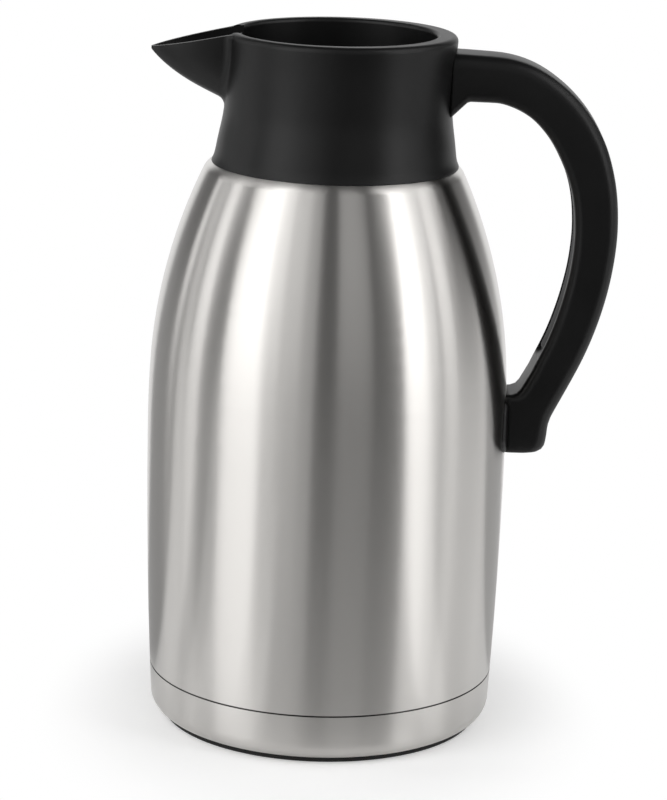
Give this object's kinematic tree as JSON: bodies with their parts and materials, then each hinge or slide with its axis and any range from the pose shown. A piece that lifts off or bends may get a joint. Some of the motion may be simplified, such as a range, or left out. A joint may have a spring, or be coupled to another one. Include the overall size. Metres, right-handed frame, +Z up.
{
  "type": "thermal carafe",
  "caption": "Double-wall steel thermal carafe with a loop handle, a pouring spout and a screw-in stopper that has a flip lid.",
  "frame": {"origin": "on the vessel's axis, at the surface that the carafe stands on", "axes": "+Z up along the vessel, +X towards the handle, -X towards the spout, +Y across it"},
  "size_m": [0.1813, 0.14, 0.2714],
  "materials": {
    "brushed_steel": "satin stainless, brushed up and down",
    "flask_steel": "drawn stainless, electropolished inside",
    "fixing_steel": "plain stainless",
    "getter_metal": "dull grey",
    "seal_metal": "dull solder",
    "black_plastic": "satin black",
    "inner_plastic": "satin black, moulded",
    "soft_grip": "soft satin black",
    "silicone": "translucent grey, matte",
    "rubber": "matte black",
    "foam": "pale foam, matte"
  },
  "bodies": {
    "jug": {"outer_shell": "brushed_steel", "base_cup": "brushed_steel", "base_pad": "rubber", "vacuum_seal": "seal_metal", "inner_flask": "flask_steel", "getter": "getter_metal", "collar": "black_plastic", "thread_liner": "inner_plastic", "collar_gasket": "silicone", "handle_grip": "black_plastic", "handle_insert": "soft_grip", "handle_bracket": "fixing_steel", "collar_screws": "fixing_steel", "foot_screw": "fixing_steel", "screw_plug": "black_plastic"},
    "stopper_carrier": {"stopper_gasket": "silicone"},
    "stopper": {"stopper_head": "inner_plastic", "stopper_plug": "inner_plastic", "stopper_foam": "foam", "hinge_pin": "fixing_steel"},
    "lid": {"flip_lid": "black_plastic", "lid_seal": "silicone"}
  },
  "joints": [
    {"name": "stopper_rise", "type": "slide", "parent": "jug", "child": "stopper_carrier", "axis": [0, 0, 1], "range_m": [0, 0.0121]},
    {"name": "stopper_turn", "type": "hinge", "parent": "stopper_carrier", "child": "stopper", "pos_m": [0, 0, 0.2484], "axis": [0, 0, 1], "range_deg": [0, 270]},
    {"name": "lid_hinge", "type": "hinge", "parent": "stopper", "child": "lid", "pos_m": [0.012, 0, 0.2521], "axis": [0, 1, 0], "range_deg": [0, 95]}
  ],
  "couplings": [
    {"joint": "stopper_rise", "follows": "stopper_turn", "m_per_rad": 0.0025465}
  ]
}
